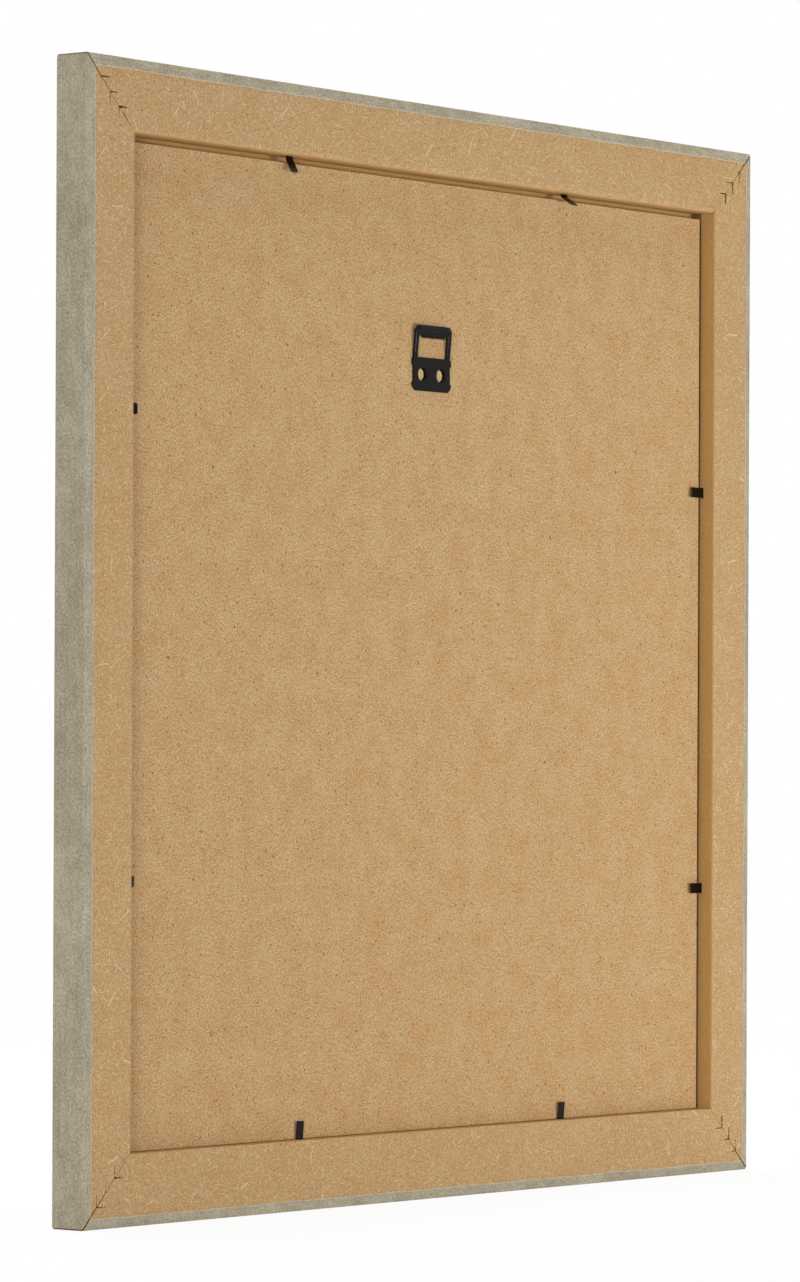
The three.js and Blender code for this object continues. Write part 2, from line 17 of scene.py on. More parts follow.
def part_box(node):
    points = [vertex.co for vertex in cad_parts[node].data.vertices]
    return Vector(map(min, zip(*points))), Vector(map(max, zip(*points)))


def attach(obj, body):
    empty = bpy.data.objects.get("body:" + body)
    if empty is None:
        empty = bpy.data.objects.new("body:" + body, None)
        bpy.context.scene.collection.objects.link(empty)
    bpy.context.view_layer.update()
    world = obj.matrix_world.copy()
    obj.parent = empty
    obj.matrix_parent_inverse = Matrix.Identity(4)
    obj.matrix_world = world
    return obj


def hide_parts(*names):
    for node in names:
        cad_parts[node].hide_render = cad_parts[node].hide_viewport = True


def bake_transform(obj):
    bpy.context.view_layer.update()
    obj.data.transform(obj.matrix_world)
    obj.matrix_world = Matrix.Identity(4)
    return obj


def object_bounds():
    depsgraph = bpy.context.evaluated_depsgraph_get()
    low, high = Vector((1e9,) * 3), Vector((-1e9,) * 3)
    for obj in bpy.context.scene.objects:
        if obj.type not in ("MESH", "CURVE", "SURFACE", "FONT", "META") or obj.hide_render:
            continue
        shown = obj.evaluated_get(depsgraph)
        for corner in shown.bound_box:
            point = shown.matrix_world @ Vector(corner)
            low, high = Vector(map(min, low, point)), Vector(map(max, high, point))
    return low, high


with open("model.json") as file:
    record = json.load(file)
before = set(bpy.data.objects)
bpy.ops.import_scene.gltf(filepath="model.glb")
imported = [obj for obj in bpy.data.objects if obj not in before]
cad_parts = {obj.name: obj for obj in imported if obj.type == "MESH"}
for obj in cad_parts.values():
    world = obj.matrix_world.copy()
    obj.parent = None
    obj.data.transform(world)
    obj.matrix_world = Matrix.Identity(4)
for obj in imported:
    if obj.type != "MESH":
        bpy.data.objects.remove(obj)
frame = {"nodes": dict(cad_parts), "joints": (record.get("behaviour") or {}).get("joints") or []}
cad_low, cad_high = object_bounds()

# %% [markdown]
# The camera.
# The back is seen from one side, with the lens level and turned well away from the square-on view. The
# rails' vanishing lines give the turn, the focal length and the eye's height, so the camera takes those
# values. The picture was cropped off centre, which a shift of the lens repeats without tilting the upright
# edges.

# %% Camera
PHOTO_WIDTH = 800
PHOTO_HEIGHT = 1282
FOCAL_PIXELS = 5737
HORIZON_ROW = 768.2
SENSOR_MM = 36
VIEW_TURN = math.radians(52.34)
VIEW_DISTANCE = 2.396
VIEW_ROLL = math.radians(0.24)
AIM = Vector((0.02833, 0.00524, -0.18235))

to_camera = Vector((math.sin(VIEW_TURN), math.cos(VIEW_TURN), 0))
lens = bpy.data.cameras.new("camera")
lens.sensor_width = SENSOR_MM
lens.lens = SENSOR_MM * FOCAL_PIXELS / PHOTO_HEIGHT
lens.shift_y = (HORIZON_ROW - PHOTO_HEIGHT / 2) / PHOTO_HEIGHT
lens.clip_end = 100
camera = bpy.data.objects.new("camera", lens)
camera.location = AIM + VIEW_DISTANCE * to_camera
look = (-to_camera).to_track_quat("-Z", "Y").to_matrix()
camera.rotation_euler = (look @ Matrix.Rotation(VIEW_ROLL, 3, "Z")).to_euler()
bpy.context.scene.collection.objects.link(camera)
bpy.context.scene.camera = camera
print("camera at", [round(v, 3) for v in camera.location], "with a lens of", round(lens.lens, 1), "mm")

# %% [markdown]
# Colours and nodes.
# Finishes are written as the hex colours that a picture editor shows. Blender's shaders reckon in linear
# light, so one function turns a hex value into linear numbers. One more adds a node to a tree and links
# what it is given, which keeps each finish short enough to read as a recipe.


# %% Colour and node helpers
def linear(hex_colour):
    """Linear RGBA of an sRGB hex colour."""
    channels = [int(hex_colour[i : i + 2], 16) / 255 for i in (1, 3, 5)]
    return [c / 12.92 if c <= 0.04045 else ((c + 0.055) / 1.055) ** 2.4 for c in channels] + [1.0]


def add_node(tree, kind, inputs=(), **settings):
    """Adds a node with its settings. Inputs come in order or by name: nodes are linked, values are set."""
    node = tree.nodes.new("ShaderNode" + kind)
    for name, value in settings.items():
        setattr(node, name, value)
    sockets = [socket for socket in node.inputs if socket.enabled]
    named = inputs if isinstance(inputs, dict) else dict(enumerate(inputs))
    for key, value in named.items():
        socket = sockets[key] if isinstance(key, int) else next(s for s in sockets if s.name == key)
        if isinstance(value, bpy.types.Node):
            value = next(s for s in value.outputs if s.enabled)
        if isinstance(value, bpy.types.NodeSocket):
            tree.links.new(value, socket)
        else:
            socket.default_value = value
    return node


def start_material(name):
    """A new material, its node tree and its surface shader."""
    material = bpy.data.materials.new(name)
    material.use_nodes = True
    return material, material.node_tree, material.node_tree.nodes["Principled BSDF"]


def link(tree, node, shader, socket):
    """Links a node's result to a socket of the surface shader."""
    tree.links.new(next(s for s in node.outputs if s.enabled), shader.inputs[socket])


print("mid grey #808080 is", [round(c, 3) for c in linear("#808080")[:3]], "in linear light")

# %% [markdown]
# Floor, background and light.
# The frame stands on a plain pale floor in soft studio light. The background is white to the eye and in
# reflections, while what falls on the object is a gentler dome of light. Close to the object the floor
# keeps some of its own shading, so that the shadow shows, and further out it fades into the white
# backdrop.

# %% Floor
FLOOR_SIZE = 30
FLOOR_DROP = 0.0002
WHITE_NEAR = 0.93
FADE_START = 0.3
FADE_END = 1.4


def seen_directly(tree):
    """One for rays from the eye, a reflection or glass, zero for the light that falls on things."""
    path = add_node(tree, "LightPath").outputs
    seen = add_node(tree, "Math", [path["Is Camera Ray"], path["Is Glossy Ray"]], operation="MAXIMUM")
    return add_node(tree, "Math", [seen, path["Is Transmission Ray"]], operation="MAXIMUM")


floor_mesh = bpy.data.meshes.new("floor")
half = FLOOR_SIZE / 2
corners = [(-half, -half, 0), (half, -half, 0), (half, half, 0), (-half, half, 0)]
floor_mesh.from_pydata(corners, [], [(0, 1, 2, 3)])
floor = bpy.data.objects.new("floor", floor_mesh)
floor.location.z = cad_low.z - FLOOR_DROP
bpy.context.scene.collection.objects.link(floor)

floor_paint, tree, shader = start_material("white_matt_studio_floor")
shader.inputs["Base Color"].default_value = linear("#F4F4F3")
shader.inputs["Roughness"].default_value = 0.9
place = add_node(tree, "TexCoord").outputs["Object"]
distance = add_node(tree, "VectorMath", [place], operation="LENGTH")
whiteness = add_node(tree, "MapRange", [distance, FADE_START, FADE_END, WHITE_NEAR, 1.0])
share = add_node(tree, "Math", [whiteness, seen_directly(tree)], operation="MULTIPLY")
white = add_node(tree, "Emission", [(1, 1, 1, 1), 1.0])
both = add_node(tree, "MixShader", [share, shader, white])
tree.links.new(both.outputs[0], tree.nodes["Material Output"].inputs["Surface"])
floor_mesh.materials.append(floor_paint)
print("floor at z", round(floor.location.z, 4))

# %% World
DOME_STRENGTH = 0.05

world = bpy.data.worlds.new("studio")
bpy.context.scene.world = world
world.use_nodes = True
tree = world.node_tree
dome = tree.nodes["Background"]
dome.inputs["Color"].default_value = (1, 1, 1, 1)
dome.inputs["Strength"].default_value = DOME_STRENGTH
backdrop = add_node(tree, "Background", [(1, 1, 1, 1), 1.0])
both = add_node(tree, "MixShader", [seen_directly(tree), dome, backdrop])
tree.links.new(both.outputs[0], tree.nodes["World Output"].inputs["Surface"])
print("dome strength", DOME_STRENGTH)

# %% [markdown]
# Lamps.
# The shadows say where the light stood. The shallow gap above the board is lit right to its bottom, so the
# key lamp stands no higher than the frame. The points throw short crisp shadows to one side, so it is
# small and off square. A far lamp beside the eye throws the soft shade of the near rail on the board, and
# another helps it to light the outer side of that rail. A large one above lights the ledge under the board
# and the floor. The last two are for the other views: they light the picture side and the far side.


# %% Lamps
def add_lamp(name, place, target, size, power):
    """A soft lamp, as wide and high as its size says, that faces its target."""
    light = bpy.data.lights.new(name, "AREA")
    light.shape = "RECTANGLE"
    light.size, light.size_y = size
    light.energy = power
    lamp = bpy.data.objects.new(name, light)
    lamp.location = place
    lamp.rotation_euler = (Vector(target) - Vector(place)).to_track_quat("-Z", "Y").to_euler()
    bpy.context.scene.collection.objects.link(lamp)
    return lamp


middle = (cad_low + cad_high) / 2
add_lamp("key_lamp", (-0.55, 1.18, -0.24), middle, (0.17, 0.1), 6.2)
add_lamp("fill_lamp", (7.1, 3.69, -0.3), middle, (1.7, 0.9), 375)
add_lamp("side_lamp", (2.5, 0.7, -0.15), middle, (0.6, 0.6), 9)
add_lamp("top_lamp", (0, 0.12, 2.4), middle, (1.2, 1.2), 48)
add_lamp("front_lamp", (-0.5, -1.8, 1.2), middle, (1.6, 1.6), 40)
add_lamp("far_side_lamp", (-2.6, -0.3, -0.15), middle, (0.6, 0.6), 42)
bpy.context.scene.view_settings.view_transform = "Standard"
print("lamps aimed at", [round(v, 3) for v in middle])

# %% [markdown]
# MDF.
# Medium density fibreboard is wood beaten to fibres and hot-pressed with glue. Its faces are sanded, so
# the eye sees a tan ground with fine mottling, pale straw fibres that lie any way round, and a few dark
# bits of bark. A noise alone looks like sponge. So the fibres are drawn one by one: a random mosaic gives
# each cell a middle and chance numbers, and a short bent stroke is laid through the middle at a chance
# angle. Most fibres are thinner than a tenth of a millimetre, too fine to show, so they are drawn three or
# four times as wide.

# %% Strokes in a random mosaic
PER_MM = 1000
LAYER_STEP = (17.3, 31.7, 0)
STROKE_CURL = 0.3


def strokes(tree, place, spacing, length, width, share, seed):
    """Mask of one short bent stroke in a share of the cells of a random mosaic. Sizes are in millimetres."""
    moved = add_node(tree, "VectorMath", [place, Vector(LAYER_STEP) * seed], operation="ADD")
    mosaic = add_node(tree, "TexVoronoi", {"Vector": moved, "Scale": 1 / spacing}, voronoi_dimensions="2D")
    local = add_node(tree, "VectorMath", [moved, mosaic.outputs["Position"]], operation="SUBTRACT")
    angle_chance, curl_chance, pick = add_node(tree, "SeparateColor", [mosaic.outputs["Color"]]).outputs
    angle = add_node(tree, "Math", [angle_chance, 2 * math.pi], operation="MULTIPLY")
    turned = add_node(tree, "VectorRotate", {"Vector": local, "Angle": angle}, rotation_type="Z_AXIS")
    along, across, _ = add_node(tree, "SeparateXYZ", [turned]).outputs
    curl = add_node(tree, "MapRange", [curl_chance, 0, 1, -STROKE_CURL / length, STROKE_CURL / length])
    squared = add_node(tree, "Math", [along, along], operation="MULTIPLY")
    bent = add_node(tree, "Math", [squared, curl, across], operation="MULTIPLY_ADD")
    off_line = add_node(tree, "Math", [bent], operation="ABSOLUTE")
    off_middle = add_node(tree, "Math", [along], operation="ABSOLUTE")
    soft = {"interpolation_type": "SMOOTHSTEP"}
    thin = add_node(tree, "MapRange", [off_line, 0.2 * width, 0.6 * width, 1, 0], **soft)
    short = add_node(tree, "MapRange", [off_middle, 0.3 * length, 0.5 * length, 1, 0], **soft)
    chosen = add_node(tree, "MapRange", [pick, 1 - share, 1, 0, 1])
    stroke = add_node(tree, "Math", [thin, short], operation="MULTIPLY")
    return add_node(tree, "Math", [stroke, chosen], operation="MULTIPLY")


print("strokes are drawn on a scale of", PER_MM, "to the metre")


# %% Places on a bar or board
# A noise that runs through the solid looks stretched on some faces, so the strokes are laid on each face
# by its own two lengths. Two masks go with that place: faces that were sanded, and the inside that a nail
# laid bare.
NAILED_WIDTH = 26.5
BURIED_FROM = 0.36

half_side = (cad_high.x - cad_low.x) / 2 * PER_MM
back_side = cad_high.y * PER_MM


def board_places(tree, rebate_depth, eased):
    """Place on a face and in the solid, in millimetres, and two masks: sanded, and torn open by a nail."""
    coordinates = add_node(tree, "TexCoord").outputs
    solid = add_node(tree, "VectorMath", [coordinates["Object"], (PER_MM,) * 3], operation="MULTIPLY")
    x, y, z = add_node(tree, "SeparateXYZ", [solid]).outputs
    normal = add_node(tree, "SeparateXYZ", [coordinates["Normal"]]).outputs
    tilt = add_node(tree, "Math", [normal[1]], operation="ABSOLUTE")
    level = add_node(tree, "MapRange", [tilt, *eased, 0, 1], interpolation_type="SMOOTHSTEP")
    on_face = add_node(tree, "CombineXYZ", [x, z])
    run = add_node(tree, "Math", [x, z], operation="ADD")
    on_wall = add_node(tree, "CombineXYZ", [run, y])
    flat = add_node(tree, "Mix", [level, on_wall, on_face], data_type="VECTOR")
    outside = add_node(tree, "Math", [y, rebate_depth], operation="GREATER_THAN")
    sanded = add_node(tree, "Math", [level, outside], operation="MULTIPLY")
    from_middle = add_node(tree, "VectorMath", [solid, middle * PER_MM], operation="SUBTRACT")
    mirrored = add_node(tree, "VectorMath", [from_middle], operation="ABSOLUTE")
    sideways, _, upwards = add_node(tree, "SeparateXYZ", [mirrored]).outputs
    outwards = add_node(tree, "Math", [sideways, upwards], operation="MAXIMUM")
    nailed = add_node(tree, "Math", [outwards, half_side - NAILED_WIDTH], operation="GREATER_THAN")
    sunk = add_node(tree, "Math", [y, back_side - BURIED_FROM], operation="LESS_THAN")
    buried = add_node(tree, "Math", [nailed, sunk], operation="MULTIPLY")
    return flat, solid, sanded, buried


print("the inside of a rail shows from", BURIED_FROM, "mm under its back")


# %% MDF recipe
GRAIN_MM = 0.75
BLUSH_MM = 14
ROUTED_SHARE = 0.75
# Painted shade: between these depths, in millimetres, the uprights' rebate wall darkens towards a dark brown.
PAINTED_SHADE_DEPTHS = (-2.6, -1.9)
PAINTED_SHADE_SHARE = 0.8


def mdf(name, tones, layers, rebate_depth, eased):
    """Raw MDF. A layer of strokes has a tone, a spacing, a length, a width, a share of cells and a strength."""
    material, tree, shader = start_material(name)
    place, solid, sanded, buried = board_places(tree, rebate_depth, eased)
    grain = {"Vector": place, "Scale": 1 / GRAIN_MM, "Detail": 2, "Roughness": 0.6}
    mottle = add_node(tree, "TexNoise", grain)
    ground = add_node(tree, "MapRange", [mottle, 0.32, 0.68, 0, 1])
    tone = {"data_type": "RGBA"}
    dark, light = linear(tones["ground_dark"]), linear(tones["ground_light"])
    colour = add_node(tree, "Mix", [ground, dark, light], **tone)
    blotches = {"Vector": solid, "Scale": 1 / BLUSH_MM, "Detail": 5, "Roughness": 0.75}
    cloud = add_node(tree, "TexNoise", blotches)
    blush = add_node(tree, "MapRange", [cloud, 0.4, 0.62, 0, 1])
    colour = add_node(tree, "Mix", [blush, colour, linear(tones["blush"])], blend_type="MULTIPLY", **tone)
    relief = mottle
    for seed, (paint, spacing, length, width, share, strength) in enumerate(layers):
        mask = strokes(tree, place, spacing, length, width, share, seed)
        amount = add_node(tree, "Math", [mask, strength], operation="MULTIPLY")
        colour = add_node(tree, "Mix", [amount, colour, linear(tones[paint])], **tone)
        relief = add_node(tree, "Math", [amount, 0.5, relief], operation="MULTIPLY_ADD")
    routed = add_node(tree, "Mix", [ROUTED_SHARE, colour, linear(tones["routed"])], **tone)
    colour = add_node(tree, "Mix", [sanded, routed, colour], **tone)
    # Painted shade: deep in the rebate, beside the board, the colour turns towards a dark brown.
    if "dust" in tones:
        depth = add_node(tree, "SeparateXYZ", [solid]).outputs[1]
        dusty = add_node(tree, "MapRange", [depth, *PAINTED_SHADE_DEPTHS, PAINTED_SHADE_SHARE, 0])
        colour = add_node(tree, "Mix", [dusty, colour, linear(tones["dust"])], **tone)
    colour = add_node(tree, "Mix", [buried, colour, linear(tones["buried"])], **tone)
    rough = add_node(tree, "MapRange", [mottle, 0.3, 0.7, 0.78, 0.95])
    bump = add_node(tree, "Bump", {"Height": relief, "Strength": 0.25, "Distance": 0.0002})
    link(tree, rough, shader, "Roughness")
    link(tree, bump, shader, "Normal")
    shader.inputs["Specular IOR Level"].default_value = 0.2
    return material, tree, shader, colour, solid


# The rails' MDF is coarser: the eye finds single straw fibres in it. The board is pressed finer and
# smoother, and shows grain, reddish blotches and dark specks. The rails' eased edges were sanded with the
# faces on the top and bottom rails, and left as the cutter made them on the uprights, where a painted
# shade also darkens the rebate wall deep down beside the board.
RAIL_TONES = {
    "ground_dark": "#A78556",
    "ground_light": "#CEAF83",
    "blush": "#FCF4EE",
    "shade": "#85603A",
    "fibre": "#EBD5AA",
    "speck": "#5E3D20",
    "buried": "#8F5A28",
}
RAIL_LAYERS = [
    ("shade", 1.8, 1.6, 0.45, 0.9, 0.50),
    ("fibre", 1.9, 1.8, 0.45, 0.9, 0.50),
    ("fibre", 4.8, 3.8, 0.45, 0.5, 0.55),
    ("fibre", 15.0, 8.0, 0.50, 0.5, 0.85),
    ("speck", 6.5, 1.2, 0.75, 0.5, 0.60),
]
BOARD_TONES = {
    "ground_dark": "#A38051",
    "ground_light": "#D9BA8D",
    "blush": "#FAEEE3",
    "shade": "#86592F",
    "fibre": "#E3C9A0",
    "speck": "#5B381D",
    "buried": "#5B381D",
    "routed": "#A3743F",
    "torn": "#DEC48E",
}
BOARD_LAYERS = [
    ("shade", 1.7, 1.5, 0.45, 0.9, 0.56),
    ("fibre", 1.6, 1.4, 0.45, 0.9, 0.40),
    ("fibre", 7.0, 3.0, 0.40, 0.4, 0.35),
    ("speck", 5.0, 1.2, 0.75, 0.5, 0.80),
    ("speck", 24.0, 1.7, 1.10, 0.5, 0.75),
]
ROUTED = {"upright": "#AC8347", "level": "#B4894E"}
REBATE_DEPTH = -3
SANDED_EDGE = (0.35, 0.7)
CUTTER_EDGE = (0.965, 0.995)
rail_mdf = {}
for quarter, (name, eased) in enumerate((("upright", CUTTER_EDGE), ("level", SANDED_EDGE))):
    tones = RAIL_TONES | {"routed": ROUTED[name]}
    if name == "upright":
        # The painted shade deep in the rebate of the uprights.
        tones["dust"] = "#5E3F1C"
    made = mdf(f"mdf_planed_and_sanded_{name}", tones, RAIL_LAYERS, REBATE_DEPTH, eased)
    rail_mdf[quarter], tree, shader, colour, _ = made
    link(tree, colour, shader, "Base Color")
print("rail MDF has", len(tree.nodes), "nodes")

# %% [markdown]
# The board in the eyelets.
# The hanger's two eyelets were drawn down into the board. Inside each ring the pressed skin is torn, and
# the paler fibres under it show. The board's recipe is the same MDF with two pale discs added at the
# eyelets.

# %% Board MDF
EYELET_X = 6.4
EYELET_Z = -16.4
EYELET_RADIUS = 2.75
NO_REBATE = -100

made = mdf("thin_mdf_pressed_smooth", BOARD_TONES, BOARD_LAYERS, NO_REBATE, CUTTER_EDGE)
board_mdf, tree, shader, colour, solid = made
x, y, z = add_node(tree, "SeparateXYZ", [solid]).outputs
mirrored_x = add_node(tree, "Math", [x], operation="ABSOLUTE")
on_board = add_node(tree, "CombineXYZ", [mirrored_x, z])
from_eyelet = add_node(tree, "VectorMath", [on_board, (EYELET_X, EYELET_Z, 0)], operation="DISTANCE")
disc = add_node(tree, "MapRange", [from_eyelet, EYELET_RADIUS - 0.4, EYELET_RADIUS, 0.7, 0])
colour = add_node(tree, "Mix", [disc, colour, linear(BOARD_TONES["torn"])], data_type="RGBA")
link(tree, colour, shader, "Base Color")


def dress(name, material):
    """Gives a carried-over node its finish."""
    node = frame["nodes"][name]
    node.data.materials.clear()
    node.data.materials.append(material)


print("board MDF has", len(tree.nodes), "nodes")

# %% [markdown]
# Printed foil.
# The rails are wrapped in a paper foil, printed with a grey concrete look and sealed with a matt lacquer.
# It is printed flat and then folded round the rail, so the print follows two lengths on the sheet: along
# the rail and across it. Each strip is lofted from its section, and every point keeps those two lengths as
# an attribute that the material reads. The mitres open a little towards the outer corners, as they do when
# the glue dries, and one of them more than the rest.

# %% Foil section
MM = 0.001
FOIL_THICKNESS = 0.25
FOIL_RETURN = {"left": 3.8, "top": 4.6, "right": 5.3, "bottom": 4.2}
LIP_THICKNESS = 4.2
BACK_RADIUS = 0.8
FRONT_RADIUS = 0.6
SIGHT_RADIUS = 0.8
ARC_STEPS = 8

RAILS = ("left", "top", "right", "bottom")
CORNER_BEFORE = ("bottom_left", "top_left", "top_right", "bottom_right")
CORNER_AFTER = ("top_left", "top_right", "bottom_right", "bottom_left")
MITRE_INSIDE = {"top_left": 0.12, "top_right": 0.18, "bottom_right": 0.25, "bottom_left": 0.2}
MITRE_CLOSES = 16
MITRE_OUTSIDE = {"top_left": 0.85, "top_right": 0.75, "bottom_right": 0.85, "bottom_left": 0.85}

outer_low, outer_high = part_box("foil_left")[0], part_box("foil_right")[1]
HALF_SIDE = (outer_high.x - outer_low.x) / 2 / MM
FRAME_DEPTH = (outer_high.y - outer_low.y) / MM
CENTRE = Vector(((outer_low.x + outer_high.x) / 2, outer_high.y, (outer_low.z + outer_high.z) / 2))
FRONT_WIDTH = (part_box("foil_left")[1].x - outer_low.x) / MM


def arc(centre, radius, start_degrees):
    """Points of a quarter circle, counter-clockwise from its start."""
    turns = [math.radians(start_degrees + 90 * i / ARC_STEPS) for i in range(ARC_STEPS + 1)]
    return [Vector((centre[0] + radius * math.cos(t), centre[1] + radius * math.sin(t))) for t in turns]


def foil_stretch(inset, foil_return):
    """The foil's line round the rail, set in by an inset: x inwards from the outer side, y from the back."""
    sight_x = FRONT_WIDTH - SIGHT_RADIUS
    return [
        Vector((foil_return, -inset)),
        *arc((BACK_RADIUS, -BACK_RADIUS), BACK_RADIUS - inset, 90),
        *arc((FRONT_RADIUS, FRONT_RADIUS - FRAME_DEPTH), FRONT_RADIUS - inset, 180),
        Vector((MITRE_CLOSES, inset - FRAME_DEPTH)),
        *arc((sight_x, SIGHT_RADIUS - FRAME_DEPTH), SIGHT_RADIUS - inset, 270),
        Vector((FRONT_WIDTH - inset, LIP_THICKNESS - FRAME_DEPTH)),
    ]


def mitre_end(quarter_turns, end, inwards):
    """Where a rail ends, along its length, at a distance inwards from its outer side. end is -1 or 1."""
    corner = (CORNER_AFTER if end > 0 else CORNER_BEFORE)[quarter_turns]
    open_share = max(0, 1 - inwards / MITRE_CLOSES)
    gap = MITRE_INSIDE[corner] + (MITRE_OUTSIDE[corner] - MITRE_INSIDE[corner]) * open_share
    return end * (HALF_SIDE - inwards - gap / math.sqrt(2))


def rail_place(quarter_turns, inwards, backwards, along):
    """Place in the frame of a point given in a rail's own lengths."""
    turn = Matrix.Rotation(quarter_turns * math.pi / 2, 3, "Y")
    return CENTRE + turn @ Vector((inwards - HALF_SIDE, backwards, along)) * MM


print("frame", round(2 * HALF_SIDE), "mm square,", round(FRAME_DEPTH, 2), "mm deep")


# %% Meshes and the foil strip
STRIP_STEPS = 120


def lies_square(face):
    """True for a face that lies square to one of the frame's axes."""
    return max(abs(value) for value in face.normal) > 0.9995


def object_from_bmesh(name, work, material, smooth_degrees):
    """A new object, shaded smooth but for sharp edges and where a flat turns into a rounding."""
    bmesh.ops.recalc_face_normals(work, faces=work.faces)
    limit = math.radians(smooth_degrees)
    for face in work.faces:
        face.smooth = True
    for edge in work.edges:
        square = [lies_square(face) for face in edge.link_faces]
        edge.smooth = len(square) == 2 and edge.calc_face_angle() < limit and square[0] == square[1]
    mesh = bpy.data.meshes.new(name)
    work.to_mesh(mesh)
    work.free()
    mesh.materials.append(material)
    made = bpy.data.objects.new(name, mesh)
    bpy.context.scene.collection.objects.link(made)
    return made


def join_rings(work, first, second):
    """Quads between two rings of points."""
    for i in range(len(first)):
        j = (i + 1) % len(first)
        work.faces.new((first[i], first[j], second[j], second[i]))


def trim_wobble(along, quarter_turns):
    """How far the knife strayed at a place along the cut edge of the return, in millimetres."""
    return 0.12 * math.sin(along / 9 + 2 * quarter_turns) + 0.08 * math.sin(along / 3.7 + quarter_turns)


def foil_strip(rail, quarter_turns, material):
    """One wrapped strip, lofted between its two mitres in short steps, so that its cut edge can wander."""
    outside = foil_stretch(0, FOIL_RETURN[rail])
    lengths = [0.0]
    for a, b in zip(outside, outside[1:]):
        lengths.append(lengths[-1] + (b - a).length)
    inside = foil_stretch(FOIL_THICKNESS, FOIL_RETURN[rail])
    section = [*zip(outside, lengths), *reversed(list(zip(inside, lengths)))]
    work = bmesh.new()
    sheet_place = work.verts.layers.float_vector.new("foil_sheet")
    rings = []
    for step in range(STRIP_STEPS + 1):
        share = step / STRIP_STEPS
        ring = []
        for point, across in section:
            ends = [mitre_end(quarter_turns, end, point.x) for end in (-1, 1)]
            along = ends[0] + (ends[1] - ends[0]) * share
            inwards = point.x + (trim_wobble(along, quarter_turns) if across == 0 else 0)
            vertex = work.verts.new(rail_place(quarter_turns, inwards, point.y, along))
            vertex[sheet_place] = (along, across, 1000 * quarter_turns)
            ring.append(vertex)
        rings.append(ring)
    for first, second in zip(rings, rings[1:]):
        join_rings(work, first, second)
    count = len(section)
    for ring in (rings[0], rings[-1]):
        for i in range(count // 2 - 1):
            work.faces.new((ring[i], ring[i + 1], ring[count - 2 - i], ring[count - 1 - i]))
    strip = object_from_bmesh(f"foil_strip_{rail}", work, material, 40)
    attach(strip, "frame")
    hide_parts(f"foil_{rail}")
    return strip


print("foil section has", len(foil_stretch(0, FOIL_RETURN["top"])), "points")

# %% Foil finish
# The print is a cloudy grey with a fine speckle, faint streaks along the rail and a few short pale dashes
# across it. The speckle of the real print is finer than half a millimetre and is drawn twice as coarse, so
# that it shows.
PRINT_MM = {"cloud": (60, 26), "patch": (9, 7), "speckle": (1.0, 1.0), "streak": (30, 1.2), "dash": (0.9, 7)}
PRINT_SHARE = {"cloud": 0.45, "patch": 0.5, "speckle": 1.3, "streak": 0.3}
PRINT_SPREAD = 0.3

foil, tree, shader = start_material("printed_paper_foil_matt_lacquered")
sheet = add_node(tree, "Attribute", attribute_name="foil_sheet").outputs["Vector"]
prints = {}
for name, (along_mm, across_mm) in PRINT_MM.items():
    scaled = add_node(tree, "VectorMath", [sheet, (1 / along_mm, 1 / across_mm, 1)], operation="MULTIPLY")
    prints[name] = add_node(tree, "TexNoise", {"Vector": scaled, "Scale": 1, "Detail": 2, "Roughness": 0.6})
tone = 0.0
for name, part in PRINT_SHARE.items():
    tone = add_node(tree, "Math", [prints[name], part, tone], operation="MULTIPLY_ADD")
mean_tone = 0.5 * sum(PRINT_SHARE.values())
tone = add_node(tree, "MapRange", [tone, mean_tone - PRINT_SPREAD, mean_tone + PRINT_SPREAD, 0, 1])
colour = add_node(tree, "Mix", [tone, linear("#857C67"), linear("#BCB29A")], data_type="RGBA")
dashes = add_node(tree, "MapRange", [prints["dash"], 0.62, 0.8, 0, 0.6])
colour = add_node(tree, "Mix", [dashes, colour, linear("#CCC2AB")], data_type="RGBA")
across = add_node(tree, "SeparateXYZ", [sheet]).outputs[1]
cut_edge = add_node(tree, "MapRange", [across, 0.1, 0.5, 0.5, 0])
colour = add_node(tree, "Mix", [cut_edge, colour, linear("#D8CFB9")], data_type="RGBA")
bump = add_node(tree, "Bump", {"Height": prints["speckle"], "Strength": 0.1, "Distance": 0.0001})
link(tree, colour, shader, "Base Color")
link(tree, bump, shader, "Normal")
shader.inputs["Roughness"].default_value = 0.55
shader.inputs["Specular IOR Level"].default_value = 0.25

for quarter_turns, rail in enumerate(RAILS):
    foil_strip(rail, quarter_turns, foil)
print("foil on", len(RAILS), "rails")

# %% [markdown]
# Rails.
# Under the foil each rail is a machined MDF bar. Its solid has clean slots for the nails and points. On
# the real one the fibres have closed over the driven nails again, more over some than over others, so what
# shows of each leg is a brown line of its own width. The rails are therefore lofted again from the same
# section, and a slot is cut for every leg with a Boolean, as wide as the line that shows.

# %% Rail section
GLUE_LINE = 0.05
RAIL_WIDTH = {"left": 28.5, "top": 28.9, "right": 29.3, "bottom": 28.6}
REBATE_EDGE = {"left": 0.7, "top": 2.4, "right": 0.5, "bottom": 0.4}
NAIL_FIRST = 8.5
NAIL_PITCH = 5.5
NAIL_LEG = 5.7
NAIL_THICKNESS = 0.35
NAIL_LEAN = 0.12
SLOT_DEPTH = 0.9
TEAR_DEPTH = 0.4
TEAR_OVER = 0.2

# Widths of the lines at each corner, from the outer nail to the inner one: the leg in the top or bottom
# rail, then the leg in the left or right rail.
NAIL_LINES = {
    "top_right": ((0.65, 0.20), (0.60, 0.50), (1.10, 0.55)),
    "top_left": ((0.20, 0.95), (0.70, 1.10), (0.70, 1.40)),
    "bottom_right": ((0.50, 0.40), (0.20, 0.20), (0.85, 0.60)),
    "bottom_left": ((0.50, 0.75), (0.60, 0.90), (0.60, 1.30)),
}

# Where the last nail tore the skin along the mitre: the corner, how far inwards it starts and ends, its
# width.
MITRE_TEARS = {"top_right": (20.5, 26, 0.8)}


